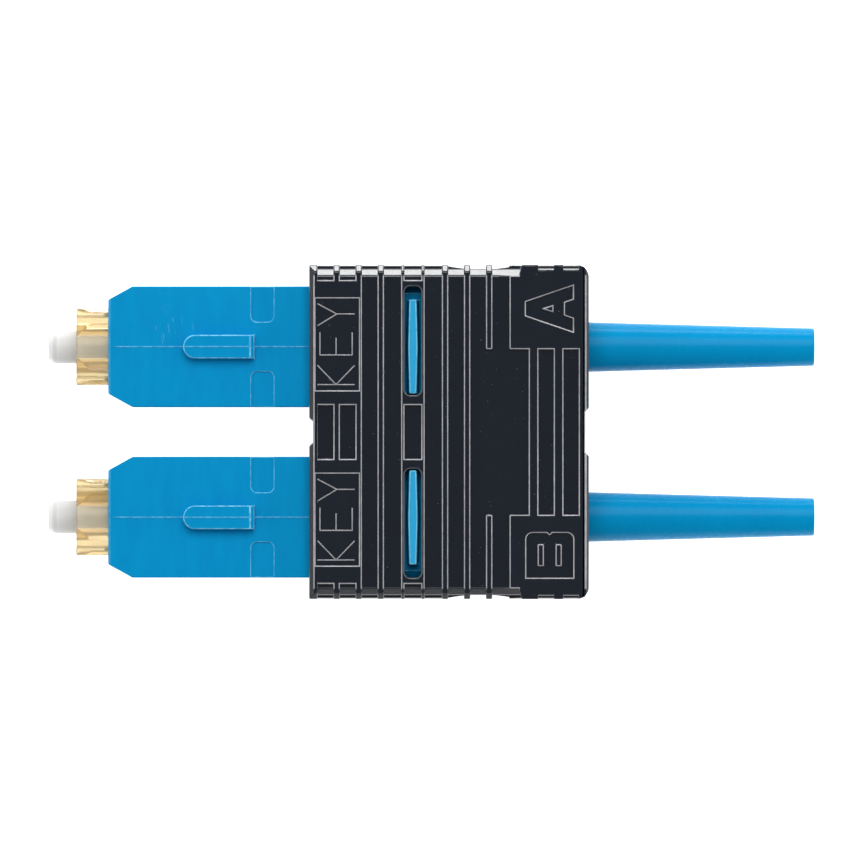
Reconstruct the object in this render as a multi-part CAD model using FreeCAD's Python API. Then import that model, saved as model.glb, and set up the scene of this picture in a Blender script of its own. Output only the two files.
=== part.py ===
import FreeCAD, Part
import math
import os

from FreeCAD import Vector

# Duplex SC fibre connector: two push-pull plugs held side by side in a ribbed clip of two halves.
# Millimetres. The origin lies midway between the two polished ferrule ends, on the plane of the
# fibre axes. +X runs back along the plugs to the boots, +Y to plug a, +Z to the side of the keys.

# Pair of plugs
PITCH = 12.7  # between the two fibre axes

# Gaps between pieces
FIT_GAP = 0.05  # each side of a piece that is held still
SLIDE_GAP = 0.05  # each side of a piece that slides
SEAT_GAP = 0.02  # between faces that rest on each other
BOND_GAP = 0.01  # each side of a glued joint

# Ferrule
FERRULE_DIAMETER = 2.5
FERRULE_LENGTH = 10.5
FERRULE_GRIP = 2.7  # length held in the flange
FERRULE_END_DIAMETER = 2.0  # polished end
FERRULE_BEVEL_LENGTH = 0.5
FIBRE_HOLE_DIAMETER = 0.126
FERRULE_STUB_STEP = 0.2  # the end that is glued into the flange is ground thinner

# Flange on the ferrule
FLANGE_LENGTH = 2.0
FLANGE_SIDES = 6  # flats that set the turn of the ferrule in the frame
TAIL_LENGTH = 3.7  # behind the flange
TAIL_WALL = 0.25  # round the ferrule

# Fibre guide tube
TUBE_DIAMETER = 1.7
TUBE_BORE = 1.0
TUBE_GAP = 0.25  # to the post round it and the boot behind it
FERRULE_FLOAT = 1.0  # travel of the ferrule and its tube against the spring

# Ferrule spring
SPRING_WIRE = 0.4
SPRING_SIDES = 5  # flats that stand for the round wire
SPRING_TURNS = 5
SPRING_STEPS = 10  # straight runs that stand for a turn
CHAMBER_GAP = 0.1  # from the flange and the spring to the wall of their chamber

# Plug frame
FRAME_LENGTH = 18.8
FRAME_REACH = 2.4  # in front of the outer housing
FRAME_WIDTH = 5.7
FRAME_HEIGHT = 6.2
FRAME_BEVEL = 0.3  # long edges
FERRULE_REACH = 2.16  # ferrule end in front of the frame
FRONT_WALL = 0.45  # round the front bore
SEAT_CLEARANCE = 0.6  # round the ferrule, in the seat of its flange
SEAT_THICKNESS = 0.9
CHAMBER_WALL = 0.5  # round the flange and the spring
CHANNEL_FLOOR = 1.66  # shallow channel along the top and the underside
CHANNEL_SLOPE = 0.85  # width of each sloping side
CHANNEL_DEPTH = 0.4
CHANNEL_LENGTH = 7.0
LEAD_IN_LENGTH = 1.1  # ramps at the front of the lands beside the channel
LATCH_BUMP_HEIGHT = 0.75
LATCH_BUMP_FROM_FRONT = 4.8
LATCH_RAMP_LENGTH = 1.2
LATCH_BUMP_FLAT = 0.4
LATCH_SEAT_LENGTH = 3.2
LATCH_BUMP_SPAN = 3.6
WIDE_STEP = 0.95  # each side of the frame behind the latch seats
WIDE_SPAN = 4.6
SNAP_LENGTH = 0.9  # catches of the rear body, in windows of the frame
SNAP_WIDTH = 2.0
SNAP_HEIGHT = 0.35
SNAP_FROM_REAR = 0.9
LUG_LENGTH = 1.5  # stop lugs, top and underside
LUG_WIDTH = 2.6
LUG_HEIGHT = 0.25
LUG_FROM_REAR = 3.0

# Outer housing
HOUSING_LENGTH = 25.0
HOUSING_SIDE_WALL = 0.65
HOUSING_TOP_WALL = 0.55
HOUSING_NOSE_LENGTH = 1.8  # slanted front corners
HOUSING_NOSE_DEPTH = 1.0
HOUSING_FRONT_BEVEL = 0.12
HOUSING_ROUND = 0.12
HOUSING_TAIL_LENGTH = 9.0  # stretch with its corners cut off, inside the clip
HOUSING_TAIL_BEVEL = 0.55
PUSH_PULL = 2.0  # travel of the housing on the frame
LUG_SLOT_GAP = 0.1
WINDOW_FROM_FRONT = 4.2
WINDOW_LENGTH = 4.6
WINDOW_HEIGHT = 4.4
KEY_FROM_FRONT = 5.6
KEY_LENGTH = 5.3
KEY_WIDTH = 1.76
KEY_HEIGHT = 0.8
KEY_BEVEL = 0.3
RECESS_FROM_FRONT = 10.65  # thumb recesses at the edges of the top
RECESS_WIDTH = 1.68
RECESS_REACH = 2.65
RECESS_DEPTH = 0.12
RECESS_ROUND = 0.45
RIDGE_FROM_REAR = 2.3  # ridges that lock the housing into the clip
RIDGE_LENGTH = 7.0
RIDGE_MIDDLE = 0.67
RIDGE_END = 0.5
RIDGE_FLANK = 0.2
RIDGE_HEIGHT = 1.45

# Rear body
STOP_THICKNESS = 1.0
STOP_LIP = 0.55  # beyond the bore of the frame
BODY_DEPTH = 3.2  # held in the frame
POST_LENGTH = 6.5
POST_WALL = 0.6

# Crimp ring
CRIMP_SETBACK = 0.3  # from the end of the post
CRIMP_WALL = 0.35
CRIMP_GAP = 0.15  # room for the cable's strength yarns

# Boot
BOOT_LENGTH = 35.25
BOOT_BASE_WALL = 0.5  # round the crimp ring
BOOT_BACK_WALL = 0.7  # behind the crimp post
BOOT_NECK_DIAMETER = 3.78
BOOT_TAPER_LENGTH = 18.0
BOOT_END_DIAMETER = 2.82
CABLE_BORE = 1.1

# Clip
CLIP_LENGTH = 20.8
CLIP_SIDE_WALL = 1.6  # from the outer housings to the rib crests
CLIP_TOP_WALL = 1.55
CLIP_DRAFT = 0.25  # the sides lean in by this much up to the bevel
CLIP_BEVEL = 0.5
CLIP_FRONT_BEVEL = 0.36
CLIP_REAR_BEVEL = 0.22
CLIP_REAR_ROUND = 1.0
CLIP_REAR_WALL = 1.5
CLIP_STOP_STEP = 0.45  # step behind each outer housing
BOOT_GAP = 0.3
RIB_HEIGHT = 0.3
RIB_PITCH = 1.64
RIB_WIDTH = 0.48
RIM_WIDTH = 0.63
SLOT_FROM_FRONT = 7.72
SLOT_WIDTH = 1.25
SLOT_INNER_GAP = 0.12  # from the ends of the ridge to the ends of the slot
SLOT_OUTER_GAP = 1.0
SLOT_ROUND = 0.45
SLOT_BORDER_WIDTH = 0.25
LEDGE_HEIGHT = 1.5  # plain band along the parting line
WAIST_LENGTH = 6.0
WAIST_DEPTH = 0.35
WAIST_FROM_REAR = 8.0  # middle of the waist
PLATEAU_INWARD = 4.35  # raised fields round the slots and the key marks, from each plug's axis
PLATEAU_OUTWARD = 4.95
MARK_INWARD = 3.25  # recessed fields of the key marks, from each plug's axis
MARK_OUTWARD = 3.58
MARK_SETBACK = 0.48
MARK_BORDER = 0.22
MARK_DEPTH = 0.12
PAD_LENGTH = 5.9  # raised pads at the rear corners
PAD_INWARD = 0.2  # from each plug's axis
PAD_BEVEL = 0.12
PAD_GROOVE_DEPTH = 0.25  # in the outer sides of the pads
PAD_CORNER = 0.7  # front corners cut back to the floor between the ribs
PAD_CORNER_SLANT = 0.3
TAIL_RIM = 0.75
TAIL_BAND = 1.14
TAIL_RIB = 0.72
TAIL_RIBS = 2
FRONT_NOTCH_WIDTH = 2.1
FRONT_NOTCH_DEPTH = 0.28
REAR_NOTCH_WIDTH = 3.5
REAR_NOTCH_DEPTH = 0.25

# Snap hooks that hold the two halves of the clip together, in the web between the plugs
HOOK_FROM_FRONT = 4.6
SOCKET_FROM_FRONT = 15.6
HOOK_WIDTH = 1.6
HOOK_THICKNESS = 0.8
HOOK_REACH = 2.6
HOOK_ROOT = 1.0
BARB_DEPTH = 0.35
BARB_HEIGHT = 1.0
HOOK_FLEX = 0.45  # free room behind the hook

# Sizes across the fibre axis that follow from the ones above
FERRULE_RADIUS = FERRULE_DIAMETER / 2
FERRULE_STUB_RADIUS = FERRULE_RADIUS - FERRULE_STUB_STEP
FERRULE_SEAT_RADIUS = FERRULE_STUB_RADIUS + BOND_GAP
TAIL_RADIUS = FERRULE_SEAT_RADIUS + TAIL_WALL
TUBE_RADIUS = TUBE_DIAMETER / 2
FRONT_BORE_RADIUS = FRAME_WIDTH / 2 - FRONT_WALL
SEAT_BORE_RADIUS = FERRULE_RADIUS + SEAT_CLEARANCE
CHAMBER_RADIUS = FRAME_WIDTH / 2 - CHAMBER_WALL
FLANGE_RADIUS = CHAMBER_RADIUS - CHAMBER_GAP
COIL_RADIUS = FLANGE_RADIUS - SPRING_WIRE / 2
BARREL_RADIUS = CHAMBER_RADIUS - FIT_GAP
STOP_HALF = CHAMBER_RADIUS + STOP_LIP
POST_BORE_RADIUS = TUBE_RADIUS + TUBE_GAP
POST_RADIUS = POST_BORE_RADIUS + POST_WALL
CRIMP_INNER = POST_RADIUS + CRIMP_GAP
CRIMP_OUTER = CRIMP_INNER + CRIMP_WALL
BOOT_SOCKET_RADIUS = CRIMP_OUTER + FIT_GAP
BOOT_BASE_RADIUS = BOOT_SOCKET_RADIUS + BOOT_BASE_WALL
WIDE_WIDTH = FRAME_WIDTH + 2 * WIDE_STEP
HOUSING_INNER_WIDTH = WIDE_WIDTH + 2 * SLIDE_GAP
HOUSING_INNER_HEIGHT = FRAME_HEIGHT + 2 * SLIDE_GAP
HOUSING_WIDTH = HOUSING_INNER_WIDTH + 2 * HOUSING_SIDE_WALL
HOUSING_HEIGHT = HOUSING_INNER_HEIGHT + 2 * HOUSING_TOP_WALL
CLIP_WIDTH = PITCH + HOUSING_WIDTH + 2 * (FIT_GAP + CLIP_SIDE_WALL)
CLIP_HEIGHT = HOUSING_HEIGHT + 2 * (FIT_GAP + CLIP_TOP_WALL)
SLOT_INNER = PITCH / 2 - RIDGE_LENGTH / 2 - SLOT_INNER_GAP
SLOT_OUTER = PITCH / 2 + RIDGE_LENGTH / 2 + SLOT_OUTER_GAP
PLATEAU_INNER = PITCH / 2 - PLATEAU_INWARD
PLATEAU_OUTER = PITCH / 2 + PLATEAU_OUTWARD
MARK_INNER = PITCH / 2 - MARK_INWARD
MARK_OUTER = PITCH / 2 + MARK_OUTWARD
PAD_INNER = PITCH / 2 - PAD_INWARD

# Places along the fibre axis, measured from the ferrule end
FRAME_FRONT = FERRULE_REACH
FRAME_REAR = FRAME_FRONT + FRAME_LENGTH
HOUSING_FRONT = FRAME_FRONT + FRAME_REACH
HOUSING_REAR = HOUSING_FRONT + HOUSING_LENGTH
RIDGE_X = HOUSING_REAR - RIDGE_FROM_REAR
FLANGE_FRONT = FERRULE_LENGTH - FERRULE_GRIP
FLANGE_REAR = FLANGE_FRONT + FLANGE_LENGTH
TAIL_REAR = FLANGE_REAR + TAIL_LENGTH
SEAT_REAR = FLANGE_FRONT - SEAT_GAP
SEAT_FRONT = SEAT_REAR - SEAT_THICKNESS
BODY_FRONT = FRAME_REAR - BODY_DEPTH
STOP_FRONT = FRAME_REAR + SEAT_GAP
STOP_REAR = STOP_FRONT + STOP_THICKNESS
POST_REAR = STOP_REAR + POST_LENGTH
TUBE_REAR = POST_REAR - FERRULE_FLOAT - TUBE_GAP
BOOT_FRONT = STOP_REAR + SEAT_GAP
BOOT_SOCKET_REAR = POST_REAR + FIT_GAP
BOOT_NECK = BOOT_SOCKET_REAR + BOOT_BACK_WALL
BOOT_END = BOOT_FRONT + BOOT_LENGTH
BOOT_TAPER = BOOT_END - BOOT_TAPER_LENGTH
WIDE_FRONT = FRAME_FRONT + LATCH_BUMP_FROM_FRONT + LATCH_RAMP_LENGTH + LATCH_BUMP_FLAT + LATCH_SEAT_LENGTH
SLOT_X = RIDGE_X
CLIP_FRONT = SLOT_X - SLOT_FROM_FRONT
CLIP_REAR = CLIP_FRONT + CLIP_LENGTH
PAD_FRONT = CLIP_REAR - PAD_LENGTH

ROUNDING = 1e-6
HALF_TURN = 180
X_AXIS = Vector(1, 0, 0)
Y_AXIS = Vector(0, 1, 0)
Z_AXIS = Vector(0, 0, 1)
ORIGIN = Vector(0, 0, 0)


def block(x_span, y_span, z_span):
    """A block between two values on each axis."""
    corner = Vector(x_span[0], y_span[0], z_span[0])
    size = Vector(x_span[1], y_span[1], z_span[1]) - corner
    return Part.makeBox(size.x, size.y, size.z, corner)


def prism(points, sweep):
    """A prism on a closed outline of straight sides."""
    return Part.Face(Part.makePolygon([*points, points[0]])).extrude(sweep)


def rod(radius, start, end):
    """A round bar along the fibre axis."""
    return Part.makeCylinder(radius, end - start, Vector(start, 0, 0), X_AXIS)


def taper(front, front_radius, rear, rear_radius):
    """A round bar along the fibre axis that tapers evenly."""
    return Part.makeCone(front_radius, rear_radius, rear - front, Vector(front, 0, 0), X_AXIS)


def across(half):
    """The span from minus to plus a half size."""
    return (-half, half)


def flipped(shape):
    """The same shape turned over about the fibre axis."""
    copy = shape.copy()
    copy.rotate(ORIGIN, X_AXIS, HALF_TURN)
    return copy


def near(first, second):
    """Whether two sizes are the same but for rounding."""
    return math.isclose(first, second, abs_tol=ROUNDING)


def edges_along(shape, axis, test):
    """The straight edges along an axis with both ends at places that pass a test."""
    found = []
    for edge in shape.Edges:
        start = edge.firstVertex().Point
        end = edge.lastVertex().Point
        if (end - start).cross(axis).Length < ROUNDING and test(start) and test(end):
            found.append(edge)
    return found


def ferrule():
    bevel = taper(0, FERRULE_END_DIAMETER / 2, FERRULE_BEVEL_LENGTH, FERRULE_RADIUS)
    stub_front = FLANGE_FRONT - SEAT_GAP
    barrel = rod(FERRULE_RADIUS, FERRULE_BEVEL_LENGTH, stub_front)
    stub = rod(FERRULE_STUB_RADIUS, stub_front, FERRULE_LENGTH)
    return bevel.fuse([barrel, stub]).cut(rod(FIBRE_HOLE_DIAMETER / 2, 0, FERRULE_LENGTH))


def ferrule_flange():
    corners = []
    for number in range(FLANGE_SIDES):
        angle = 2 * math.pi * number / FLANGE_SIDES
        corners.append(Vector(FLANGE_FRONT, FLANGE_RADIUS * math.sin(angle), FLANGE_RADIUS * math.cos(angle)))
    collar = prism(corners, Vector(FLANGE_LENGTH, 0, 0))
    tail = rod(TAIL_RADIUS, FLANGE_REAR, TAIL_REAR)
    seat_rear = FERRULE_LENGTH + BOND_GAP
    return collar.fuse(tail).cut([
        rod(FERRULE_SEAT_RADIUS, FLANGE_FRONT, seat_rear),
        rod(TUBE_RADIUS + BOND_GAP, seat_rear, TAIL_REAR),
    ])


def guide_tube():
    front = FERRULE_LENGTH + 2 * BOND_GAP
    return rod(TUBE_RADIUS, front, TUBE_REAR).cut(rod(TUBE_BORE / 2, front, TUBE_REAR))


def spring():
    front = FLANGE_REAR + SEAT_GAP + SPRING_WIRE / 2
    length = BODY_FRONT - SEAT_GAP - SPRING_WIRE / 2 - front
    runs = SPRING_TURNS * SPRING_STEPS
    path = []
    for number in range(runs + 1):
        angle = 2 * math.pi * number / SPRING_STEPS
        path.append(Vector(
            front + length * number / runs, COIL_RADIUS * math.sin(angle), COIL_RADIUS * math.cos(angle)))
    corners = []
    for number in range(SPRING_SIDES + 1):
        angle = 2 * math.pi * number / SPRING_SIDES
        reach = SPRING_WIRE / 2 * math.cos(angle)
        corners.append(Vector(front + SPRING_WIRE / 2 * math.sin(angle), 0, COIL_RADIUS + reach))
    mitred = 1
    return Part.makePolygon(path).makePipeShell([Part.makePolygon(corners)], True, True, mitred)


def frame_channel():
    """The shallow channel cut along the top of the plug frame, with the ramps of its lands."""
    top = FRAME_HEIGHT / 2
    floor = top - CHANNEL_DEPTH
    half_floor = CHANNEL_FLOOR / 2
    half_top = half_floor + CHANNEL_SLOPE
    channel = prism(
        [
            Vector(FRAME_FRONT, -half_floor, floor),
            Vector(FRAME_FRONT, half_floor, floor),
            Vector(FRAME_FRONT, half_top, top),
            Vector(FRAME_FRONT, -half_top, top),
        ],
        Vector(CHANNEL_LENGTH, 0, 0),
    )
    ramp = prism(
        [
            Vector(FRAME_FRONT, -FRAME_WIDTH / 2, floor),
            Vector(FRAME_FRONT + LEAD_IN_LENGTH, -FRAME_WIDTH / 2, top),
            Vector(FRAME_FRONT, -FRAME_WIDTH / 2, top),
        ],
        Vector(0, FRAME_WIDTH, 0),
    )
    return channel.fuse(ramp)


def latch_bump():
    """The shoulder that an adapter's latch hooks behind, on the side of the plug frame."""
    side = FRAME_WIDTH / 2
    crest = side + LATCH_BUMP_HEIGHT
    front = FRAME_FRONT + LATCH_BUMP_FROM_FRONT
    flat = front + LATCH_RAMP_LENGTH
    rear = flat + LATCH_BUMP_FLAT
    bottom = -LATCH_BUMP_SPAN / 2
    return prism(
        [Vector(front, 0, bottom), Vector(front, side, bottom), Vector(flat, crest, bottom),
         Vector(rear, crest, bottom), Vector(rear, 0, bottom)],
        Vector(0, 0, LATCH_BUMP_SPAN),
    )


def stop_lug():
    """The lug on top of the plug frame that stops the housing at both ends of its travel."""
    rear = FRAME_REAR - LUG_FROM_REAR
    return block((rear - LUG_LENGTH, rear), across(LUG_WIDTH / 2), (0, FRAME_HEIGHT / 2 + LUG_HEIGHT))


def plug_frame():
    body = block((FRAME_FRONT, FRAME_REAR), across(FRAME_WIDTH / 2), across(FRAME_HEIGHT / 2))
    body = body.makeChamfer(FRAME_BEVEL, edges_along(body, X_AXIS, lambda p: True))
    body = body.cut([frame_channel(), flipped(frame_channel())])
    wide = block((WIDE_FRONT, FRAME_REAR), across(WIDE_WIDTH / 2), across(WIDE_SPAN / 2))
    pads = [wide, latch_bump(), flipped(latch_bump()), stop_lug(), flipped(stop_lug())]
    body = body.fuse(pads)
    catch_rear = FRAME_REAR - SNAP_FROM_REAR
    catch_window = block(
        (catch_rear - SNAP_LENGTH - FIT_GAP, catch_rear + FIT_GAP),
        across(SNAP_WIDTH / 2 + FIT_GAP),
        across(FRAME_HEIGHT / 2),
    )
    bores = [
        rod(FRONT_BORE_RADIUS, FRAME_FRONT, SEAT_FRONT),
        rod(SEAT_BORE_RADIUS, SEAT_FRONT, SEAT_REAR),
        rod(CHAMBER_RADIUS, SEAT_REAR, FRAME_REAR),
    ]
    return body.cut([*bores, catch_window]).removeSplitter()


def housing_key():
    """The key on top of the housing: round in front, bevelled behind."""
    top = HOUSING_HEIGHT / 2 + KEY_HEIGHT
    front = HOUSING_FRONT + KEY_FROM_FRONT
    rear = front + KEY_LENGTH
    radius = KEY_WIDTH / 2
    bar = block((front + radius, rear), across(radius), (0, top))
    nose = Part.makeCylinder(radius, top, Vector(front + radius, 0, 0))
    bevel = prism(
        [Vector(rear - KEY_BEVEL, -radius, top), Vector(rear, -radius, top - KEY_BEVEL), Vector(rear, -radius, top)],
        Vector(0, KEY_WIDTH, 0),
    )
    return bar.fuse(nose).cut(bevel)


def thumb_recess():
    """The shallow recess at one edge of the housing's top, round at its closed end."""
    top = HOUSING_HEIGHT / 2
    edge = HOUSING_WIDTH / 2
    front = HOUSING_FRONT + RECESS_FROM_FRONT
    recess = block((front, front + RECESS_WIDTH), (edge - RECESS_REACH, edge), (top - RECESS_DEPTH, top))
    closed_end = edges_along(recess, Z_AXIS, lambda p: near(p.y, edge - RECESS_REACH))
    return recess.makeFillet(RECESS_ROUND, closed_end)


def grip_ridge():
    """The ridge across the housing's top that locks it into the slot of the clip."""
    base = HOUSING_HEIGHT / 2
    reach = RIDGE_LENGTH / 2

    def outline(height, spread):
        middle = RIDGE_MIDDLE / 2 + spread
        end = RIDGE_END / 2 + spread
        points = [(end, -reach), (middle, 0), (end, reach), (-end, reach), (-middle, 0), (-end, -reach)]
        points = [Vector(RIDGE_X + x, y, height) for x, y in points]
        return Part.makePolygon([*points, points[0]])

    return Part.makeLoft([outline(base, RIDGE_FLANK), outline(base + RIDGE_HEIGHT, 0)], True, True)


def tail_bevel():
    """The corner cut off along one long edge of the housing, where the clip holds it."""
    side = HOUSING_WIDTH / 2
    top = HOUSING_HEIGHT / 2
    front = HOUSING_REAR - HOUSING_TAIL_LENGTH
    return prism(
        [Vector(front, side - HOUSING_TAIL_BEVEL, top), Vector(front, side, top - HOUSING_TAIL_BEVEL),
         Vector(front, side, top)],
        Vector(HOUSING_TAIL_LENGTH, 0, 0),
    )


def outer_housing():
    half_width = HOUSING_WIDTH / 2
    half_height = HOUSING_HEIGHT / 2
    nose = half_width - HOUSING_NOSE_DEPTH
    shoulder = HOUSING_FRONT + HOUSING_NOSE_LENGTH
    plan = [
        (HOUSING_FRONT, -nose), (shoulder, -half_width), (HOUSING_REAR, -half_width),
        (HOUSING_REAR, half_width), (shoulder, half_width), (HOUSING_FRONT, nose),
    ]
    body = prism([Vector(x, y, -half_height) for x, y in plan], Vector(0, 0, HOUSING_HEIGHT))
    body = body.makeFillet(HOUSING_ROUND, edges_along(body, X_AXIS, lambda p: True))
    lip = prism(
        [Vector(HOUSING_FRONT, -half_width, half_height - HOUSING_FRONT_BEVEL),
         Vector(HOUSING_FRONT + HOUSING_FRONT_BEVEL, -half_width, half_height),
         Vector(HOUSING_FRONT, -half_width, half_height)],
        Vector(0, HOUSING_WIDTH, 0),
    )
    hollow = block(
        (HOUSING_FRONT, HOUSING_REAR), across(HOUSING_INNER_WIDTH / 2), across(HOUSING_INNER_HEIGHT / 2))
    lug_rear = FRAME_REAR - LUG_FROM_REAR + LUG_SLOT_GAP
    lug_slot = block(
        (lug_rear - LUG_LENGTH - PUSH_PULL - 2 * LUG_SLOT_GAP, lug_rear),
        across(LUG_WIDTH / 2 + LUG_SLOT_GAP),
        across(FRAME_HEIGHT / 2 + LUG_HEIGHT + SLIDE_GAP),
    )
    window_front = HOUSING_FRONT + WINDOW_FROM_FRONT
    windows = block(
        (window_front, window_front + WINDOW_LENGTH), across(half_width), across(WINDOW_HEIGHT / 2))
    body = body.fuse([housing_key(), grip_ridge(), flipped(grip_ridge())])
    cuts = [lip, flipped(lip), hollow, lug_slot, windows]
    for shape in (thumb_recess(), tail_bevel(), flipped(tail_bevel())):
        cuts += [shape, shape.mirror(ORIGIN, Y_AXIS)]
    return body.cut(cuts).removeSplitter()


def snap_catch():
    """The catch on top of the rear body that clicks into a window of the plug frame."""
    rear = FRAME_REAR - SNAP_FROM_REAR
    front = rear - SNAP_LENGTH
    side = -SNAP_WIDTH / 2
    crest = BARREL_RADIUS + SNAP_HEIGHT
    return prism(
        [Vector(front, side, 0), Vector(front, side, BARREL_RADIUS), Vector(rear, side, crest),
         Vector(rear, side, 0)],
        Vector(0, SNAP_WIDTH, 0),
    )


def rear_body():
    body = rod(BARREL_RADIUS, BODY_FRONT, STOP_FRONT)
    stop = block((STOP_FRONT, STOP_REAR), across(STOP_HALF), across(STOP_HALF))
    post = rod(POST_RADIUS, STOP_REAR, POST_REAR)
    body = body.fuse([stop, post, snap_catch(), flipped(snap_catch())])
    return body.cut(rod(POST_BORE_RADIUS, BODY_FRONT, POST_REAR)).removeSplitter()


def crimp_ring():
    front = STOP_REAR + SEAT_GAP
    rear = POST_REAR - CRIMP_SETBACK
    return rod(CRIMP_OUTER, front, rear).cut(rod(CRIMP_INNER, front, rear))


def boot():
    neck = BOOT_NECK_DIAMETER / 2
    body = rod(BOOT_BASE_RADIUS, BOOT_FRONT, BOOT_NECK)
    body = body.fuse([
        rod(neck, BOOT_NECK, BOOT_TAPER),
        taper(BOOT_TAPER, neck, BOOT_END, BOOT_END_DIAMETER / 2),
    ])
    return body.cut([
        rod(BOOT_SOCKET_RADIUS, BOOT_FRONT, BOOT_SOCKET_REAR),
        rod(CABLE_BORE / 2, BOOT_SOCKET_REAR, BOOT_END),
    ])


def clip_block(inset, bevel, start, end):
    """A stretch of the clip half's outer form, drawn in from the rib crests by an inset."""
    foot = CLIP_WIDTH / 2 - inset
    eave = foot - CLIP_DRAFT
    top = CLIP_HEIGHT / 2 - inset
    half = [(foot, 0), (eave, top - bevel), (eave - bevel, top)]
    outline = half + [(-y, z) for y, z in reversed(half)]
    return prism([Vector(start, y, z) for y, z in outline], Vector(end - start, 0, 0))


def clip_plan():
    """The outline of the clip seen from above, with its end notches and round rear corners."""
    side = CLIP_WIDTH / 2

    def notch(x, width, depth, inward):
        half = width / 2
        bed = half - depth
        return [(x, half), (x + inward * depth, bed), (x + inward * depth, -bed), (x, -half)]

    front = notch(CLIP_FRONT, FRONT_NOTCH_WIDTH, FRONT_NOTCH_DEPTH, 1)
    rear = notch(CLIP_REAR, REAR_NOTCH_WIDTH, REAR_NOTCH_DEPTH, -1)
    corners = [(CLIP_FRONT, -side), (CLIP_REAR, -side), *reversed(rear), (CLIP_REAR, side), (CLIP_FRONT, side)]
    plan = prism([Vector(x, y, 0) for x, y in front + corners], Vector(0, 0, CLIP_HEIGHT / 2))
    rear_corners = edges_along(plan, Z_AXIS, lambda p: near(p.x, CLIP_REAR) and near(abs(p.y), side))
    return plan.makeFillet(CLIP_REAR_ROUND, rear_corners)


def clip_side():
    """The outline of the clip half seen from the side, bevelled at the front and the rear."""
    top = CLIP_HEIGHT / 2
    outline = [
        (CLIP_FRONT, 0), (CLIP_FRONT, top - CLIP_FRONT_BEVEL), (CLIP_FRONT + CLIP_FRONT_BEVEL, top),
        (CLIP_REAR - CLIP_REAR_BEVEL, top), (CLIP_REAR, top - CLIP_REAR_BEVEL), (CLIP_REAR, 0),
    ]
    points = [Vector(x, -CLIP_WIDTH / 2, z) for x, z in outline]
    return prism(points, Vector(0, CLIP_WIDTH, 0))


def clip_ledge():
    """The plain band along the parting line, drawn in at the waist where two fingers hold the clip."""
    ledge = clip_block(0, CLIP_BEVEL, CLIP_FRONT, CLIP_REAR)
    ledge = ledge.common(block((CLIP_FRONT, CLIP_REAR), across(CLIP_WIDTH / 2), (0, LEDGE_HEIGHT)))
    radius = (WAIST_LENGTH ** 2 / 4 + WAIST_DEPTH ** 2) / (2 * WAIST_DEPTH)
    middle = CLIP_REAR - WAIST_FROM_REAR
    distance = CLIP_WIDTH / 2 - WAIST_DEPTH + radius
    waists = [
        Part.makeCylinder(radius, LEDGE_HEIGHT, Vector(middle, side * distance, 0)) for side in (-1, 1)
    ]
    return ledge.cut(waists)


def mirrored_spans(inner, outer):
    """A span on the side of plug a, and its mirror image on the side of plug b."""
    return [(inner, outer), (-outer, -inner)]


def clip_relief():
    """Ribs, raised fields and corner pads on the outside of a clip half."""
    tall = (0, CLIP_HEIGHT / 2)
    full = across(CLIP_WIDTH / 2)
    middle = across(PAD_INNER)
    border = SLOT_WIDTH / 2
    slot_front = SLOT_X - border - SLOT_BORDER_WIDTH
    slot_rear = SLOT_X + border + SLOT_BORDER_WIDTH
    ribs = [
        ((CLIP_FRONT, CLIP_FRONT + RIM_WIDTH), full),
        ((slot_front, SLOT_X - border), full),
        ((SLOT_X + border, slot_rear), full),
        ((CLIP_REAR - TAIL_RIM, CLIP_REAR), middle),
    ]
    anchor = border + SLOT_BORDER_WIDTH / 2
    front_count = int((SLOT_FROM_FRONT - anchor - RIM_WIDTH) / RIB_PITCH)
    rear_count = int((PAD_FRONT - SLOT_X - anchor) / RIB_PITCH)
    places = [SLOT_X - anchor - RIB_PITCH * (n + 1) for n in range(front_count)]
    places += [SLOT_X + anchor + RIB_PITCH * (n + 1) for n in range(rear_count)]
    last = places.pop()
    ribs += [((x - RIB_WIDTH / 2, x + RIB_WIDTH / 2), full) for x in places]
    ribs += [((last - RIB_WIDTH / 2, last + RIB_WIDTH / 2), span)
             for span in mirrored_spans(PAD_INNER, CLIP_WIDTH / 2)]
    for number in range(TAIL_RIBS):
        rear = CLIP_REAR - TAIL_RIM - TAIL_BAND - number * (TAIL_BAND + TAIL_RIB)
        ribs.append(((rear - TAIL_RIB, rear), full))
    mark_rear = places[1] + RIB_WIDTH / 2
    for span in mirrored_spans(PLATEAU_INNER, PLATEAU_OUTER):
        ribs.append(((CLIP_FRONT, mark_rear), span))
        ribs.append(((slot_front, slot_rear), span))
    form = clip_block(0, CLIP_BEVEL, CLIP_FRONT, CLIP_REAR)
    relief = [form.common(block(x_span, y_span, tall)) for x_span, y_span in ribs]
    pad_form = clip_block(0, PAD_BEVEL, PAD_FRONT, CLIP_REAR)
    for span in mirrored_spans(PAD_INNER, CLIP_WIDTH / 2):
        pad = pad_form.common(block((PAD_FRONT, CLIP_REAR), span, tall))
        relief.append(pad)
    return relief


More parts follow.
